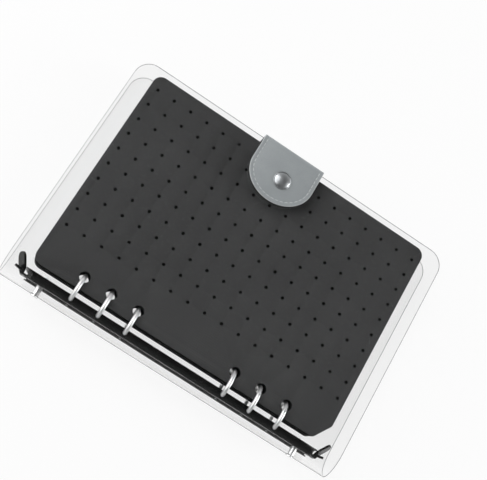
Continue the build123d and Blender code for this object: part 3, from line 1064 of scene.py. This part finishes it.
@dataclass
class Stitching:
    """Rows of thread along the strap, each stitch a short round bead half sunk in its groove."""

    strap: Strap
    inset: float = 2.5
    pitch: float = 3.2
    length: float = 2.4
    wide: float = 0.5
    high: float = 0.36
    blunt: float = 0.7
    stray: float = 0.05
    stray_step: float = 2.4
    flap_lead: float = 0.4
    wall_lead: float = 0.6
    around: int = 8
    bands: int = 6
    fine: int = 720

    @property
    def half(self) -> float:
        """Distance of the long rows from the strap's middle."""
        return self.strap.width / 2 - self.inset

    def side_row(self, low: float, high: float) -> list[Triple]:
        """Places and headings of stitches along both long sides.

        Args:
            low: Start of the row along the strap.
            high: End of the row.

        Returns:
            X, distance along the strap, and heading of each stitch.
        """
        count = round((high - low) / self.pitch)
        spots = [low + (number + 0.5) * (high - low) / count for number in range(count)]
        return [(side * self.half, spot, math.pi / 2) for side in (-1, 1) for spot in spots]

    def round_row(self) -> list[Triple]:
        """Places and headings of stitches round the flap's end."""
        deep = self.strap.round_depth - self.inset
        centre = sum(self.strap.lengths)
        turns = [math.pi * number / self.fine for number in range(self.fine + 1)]
        points = [Vector((self.half * math.cos(turn), deep * math.sin(turn))) for turn in turns]
        steps = [(after - before).length for before, after in zip(points, points[1:])]
        total = sum(steps)
        count = round(total / self.pitch)
        row, passed = [], 0.0
        for before, after, step in zip(points, points[1:], steps):
            if len(row) < count and passed + step >= (len(row) + 0.5) * total / count:
                heading = after - before
                row.append((before.x, centre + before.y, math.atan2(heading.y, heading.x)))
            passed += step
        return row

    def end_row(self) -> list[Triple]:
        """Places and headings of stitches across the sewn end."""
        count = round(2 * self.half / self.pitch)
        spots = [-self.half + (number + 0.5) * 2 * self.half / count for number in range(count)]
        return [(spot, self.inset, 0.0) for spot in spots]

    def beads(self, row: list[Triple], out: float) -> Shape:
        """Make the stitches of a row.

        Args:
            row: X, distance along the strap, and heading of each stitch.
            out: Height of the face that they lie on.

        Returns:
            All the stitches.
        """
        shape = bmesh.new()
        for number, (x, along, heading) in enumerate(row):
            turn = heading + self.stray * math.sin(number * self.stray_step)
            made = bmesh.ops.create_uvsphere(
                shape, u_segments=self.around, v_segments=self.bands, radius=0.5
            )["verts"]
            bmesh.ops.rotate(shape, cent=(0, 0, 0), matrix=Matrix.Rotation(math.pi / 2, 3, "Y"), verts=made)
            for point in made:
                point.co.x = math.copysign(abs(point.co.x * 2) ** self.blunt / 2, point.co.x)
            bmesh.ops.scale(shape, vec=(self.length, self.wide, self.high), verts=made)
            bmesh.ops.rotate(shape, cent=(0, 0, 0), matrix=Matrix.Rotation(turn, 3, "Z"), verts=made)
            for point in made:
                y, z = self.strap.place(along + point.co.y, out + point.co.z)
                point.co = local(self.strap.x + x + point.co.x, y, z)
        return shape

    def build(self) -> None:
        """Make the rows on the flap, the wall and the sewn end."""
        base, fold, wall, _, straight = self.strap.lengths
        wall_start, flap_start = base + fold, base + 2 * fold + wall
        wall_row = self.side_row(wall_start + self.wall_lead, wall_start + wall - self.wall_lead)
        flap_row = self.side_row(flap_start + self.flap_lead, flap_start + straight) + self.round_row()
        top, bottom = self.strap.leather, -self.strap.lining
        rows = (
            ("strap_flap_thread", flap_row, top, "strap_flap", ["strap_flap_stitches"]),
            ("strap_wall_thread", wall_row, top, "strap_wall", []),
            ("strap_base_thread", self.end_row(), bottom, "back_cover", ["strap_base_stitches"]),
        )
        for name, row, out, body, nodes in rows:
            piece = make_piece(name, self.beads(row, out), [Finishes.THREAD])
            if nodes:
                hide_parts(*nodes)
            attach(piece, body)


# Snap


@dataclass
class Snap:
    """The snap: domed cap with a rolled rim above; socket, stud and washer below."""

    x: float = -2.4
    y: float = 126.7
    leather_top: float = 16.25
    radius: float = 6.0
    high: float = 1.9
    rim: float = 0.5
    dome_inset: float = 0.75
    dome_steps: int = 12
    valley_out: float = 0.06
    valley_down: float = 0.1
    bead: float = 0.34
    bead_squash: float = 0.9
    bead_steps: int = 8
    foot_inset: float = 0.02
    foot_height: float = 0.12
    sole_inset: float = 0.1
    steps: int = 72

    def profile(self) -> list[Pair]:
        """Section of the cap from its crown to its foot, radius and height."""
        dome = self.radius - self.dome_inset
        rise = self.high - self.rim
        ball = (dome**2 + rise**2) / (2 * rise)
        points = []
        for number in range(self.dome_steps + 1):
            radius = dome * number / self.dome_steps
            points.append((radius, self.high - ball + math.sqrt(ball**2 - radius**2)))
        points.append((dome + self.valley_out, self.rim - self.valley_down))
        for number in range(self.bead_steps + 1):
            turn = math.pi * (1 - number / self.bead_steps)
            out = self.radius - self.bead + self.bead * math.cos(turn)
            up = self.rim - self.bead / 2 + self.bead * math.sin(turn) * self.bead_squash
            points.append((out, up))
        points.append((self.radius - self.foot_inset, self.foot_height))
        points.append((self.radius - self.sole_inset, 0.0))
        points.append((0.0, 0.0))
        return points

    def build(self) -> None:
        """Spin the cap and dress the other parts."""
        shape = spun(self.profile(), local(self.x, self.y, self.leather_top), self.steps)
        piece = make_piece("snap_cap_dome", shape, [Finishes.NICKEL])
        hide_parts("snap_cap")
        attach(piece, "strap_flap")
        dress("snap_socket", Finishes.NICKEL)
        dress("snap_stud", Finishes.NICKEL)
        dress("snap_washer", Finishes.DARK_PLATE)


# Studio


@dataclass
class Studio:
    """Camera, pale floor and soft light."""

    lens: float = 68.78
    sensor: float = 36.0
    nearest: float = 0.01
    camera_spot: Triple = (-68.78, -158.27, 576.0)
    camera_right: Triple = (0.83102, 0.49475, 0.25422)
    camera_back: Triple = (-0.11236, -0.29831, 0.94783)
    floor_size: float = 6.0
    floor_drop: float = 0.5
    floor_colour: str = "#f6f6f6"
    white: str = "#ffffff"
    glow_plain: float = 0.88
    glow_through: float = 0.12
    horizon: float = 0.95
    overhead: float = 0.03
    overhead_from: float = 0.82

    def camera(self) -> None:
        """Put the camera at the photograph's viewing angle."""
        data = bpy.data.cameras.new("camera")
        data.lens = self.lens
        data.sensor_width = self.sensor
        data.clip_start = self.nearest
        camera = bpy.data.objects.new("camera", data)
        bpy.context.collection.objects.link(camera)
        back = Vector(self.camera_back).normalized()
        up = back.cross(Vector(self.camera_right)).normalized()
        turn = Matrix((up.cross(back), up, back)).transposed().to_4x4()
        camera.matrix_world = Matrix.Translation(Vector(self.camera_spot) * MM) @ turn
        bpy.context.scene.camera = camera

    def floor(self) -> None:
        """Lay a white floor that keeps a faint shadow."""
        shape = bmesh.new()
        bmesh.ops.create_grid(shape, x_segments=1, y_segments=1, size=self.floor_size / 2)
        bmesh.ops.translate(shape, verts=shape.verts, vec=(0, 0, -self.floor_drop * MM))
        mesh = bpy.data.meshes.new("floor")
        shape.to_mesh(mesh)
        shape.free()
        floor = bpy.data.objects.new("floor", mesh)
        bpy.context.collection.objects.link(floor)
        mesh.materials.append(self.paper())

    def paper(self) -> bpy.types.Material:
        """White paper that glows for the camera and mirrors, and faintly through the sheet."""
        paper = bpy.data.materials.new("white_paper")
        paper.use_nodes = True
        tree = paper.node_tree
        tree.nodes.clear()
        matt = add_node(tree, "ShaderNodeBsdfDiffuse", inputs={"Color": linear(self.floor_colour)})
        glow = add_node(tree, "ShaderNodeEmission", inputs={"Color": linear(self.white), "Strength": 1.0})
        ray = add_node(tree, "ShaderNodeLightPath")
        through = add_node(
            tree, "ShaderNodeMath", {"operation": "MULTIPLY"}, {1: self.glow_through},
            {0: ray.outputs["Is Transmission Ray"]},
        )
        seen = add_node(
            tree, "ShaderNodeMath", {"operation": "MAXIMUM"},
            links={0: ray.outputs["Is Camera Ray"], 1: ray.outputs["Is Glossy Ray"]},
        )
        plain = add_node(
            tree, "ShaderNodeMath", {"operation": "MULTIPLY"}, {1: self.glow_plain}, {0: seen.outputs[0]}
        )
        share = add_node(
            tree, "ShaderNodeMath", {"operation": "MAXIMUM"},
            links={0: plain.outputs[0], 1: through.outputs[0]},
        )
        mixed = add_node(
            tree, "ShaderNodeMixShader", links={0: share.outputs[0], 1: matt.outputs[0], 2: glow.outputs[0]}
        )
        output = add_node(tree, "ShaderNodeOutputMaterial", links={"Surface": mixed.outputs[0]})
        output.is_active_output = True
        return paper

    def lamp(self, name: str, spot: Triple, size: float, power: float) -> None:
        """Hang one square soft light that looks at the book.

        Args:
            name: Its name.
            spot: Its place in metres.
            size: Side of the square in metres.
            power: Its power in watts.
        """
        data = bpy.data.lights.new(name, "AREA")
        data.shape = "SQUARE"
        data.size = size
        data.energy = power
        lamp = bpy.data.objects.new(name, data)
        bpy.context.collection.objects.link(lamp)
        lamp.location = spot
        lamp.rotation_euler = Vector(spot).to_track_quat("Z", "Y").to_euler()

    def world(self) -> None:
        """Light the room softly, brighter at the sides than overhead."""
        world = bpy.data.worlds.new("studio")
        bpy.context.scene.world = world
        world.use_nodes = True
        tree = world.node_tree
        tree.nodes.clear()
        way = add_node(tree, "ShaderNodeTexCoord").outputs["Generated"]
        rise = add_node(tree, "ShaderNodeSeparateXYZ", links={"Vector": way}).outputs["Z"]
        span = {"From Max": self.overhead_from, "To Min": self.horizon, "To Max": self.overhead}
        level = add_node(
            tree, "ShaderNodeMapRange", inputs={"From Min": 0.0} | span, links={"Value": rise}
        ).outputs[0]
        glow = add_node(
            tree, "ShaderNodeBackground", inputs={"Color": linear(self.white)}, links={"Strength": level}
        )
        output = add_node(tree, "ShaderNodeOutputWorld", links={"Surface": glow.outputs[0]})
        output.is_active_output = True

    def build(self) -> None:
        """Set up the whole studio."""
        self.camera()
        self.floor()
        self.world()
        self.lamp("key", (-1.15, 0.2, 1.05), size=1.8, power=27.0)
        self.lamp("fill", (1.6, 0.45, 0.52), size=0.7, power=15.0)
        bpy.context.scene.view_settings.view_transform = "Standard"


def main() -> None:
    """Build the studio, then the book piece by piece."""
    logging.basicConfig(level=logging.INFO, format="%(name)s: %(message)s")
    Studio().build()
    Cover().build()
    RingSet().build()
    for number in range(1, PAGE_COUNT + 1):
        PinPage(number).build()
    strap = Strap()
    strap.build()
    Stitching(strap).build()
    Snap().build()


if __name__ == "__main__":
    main()
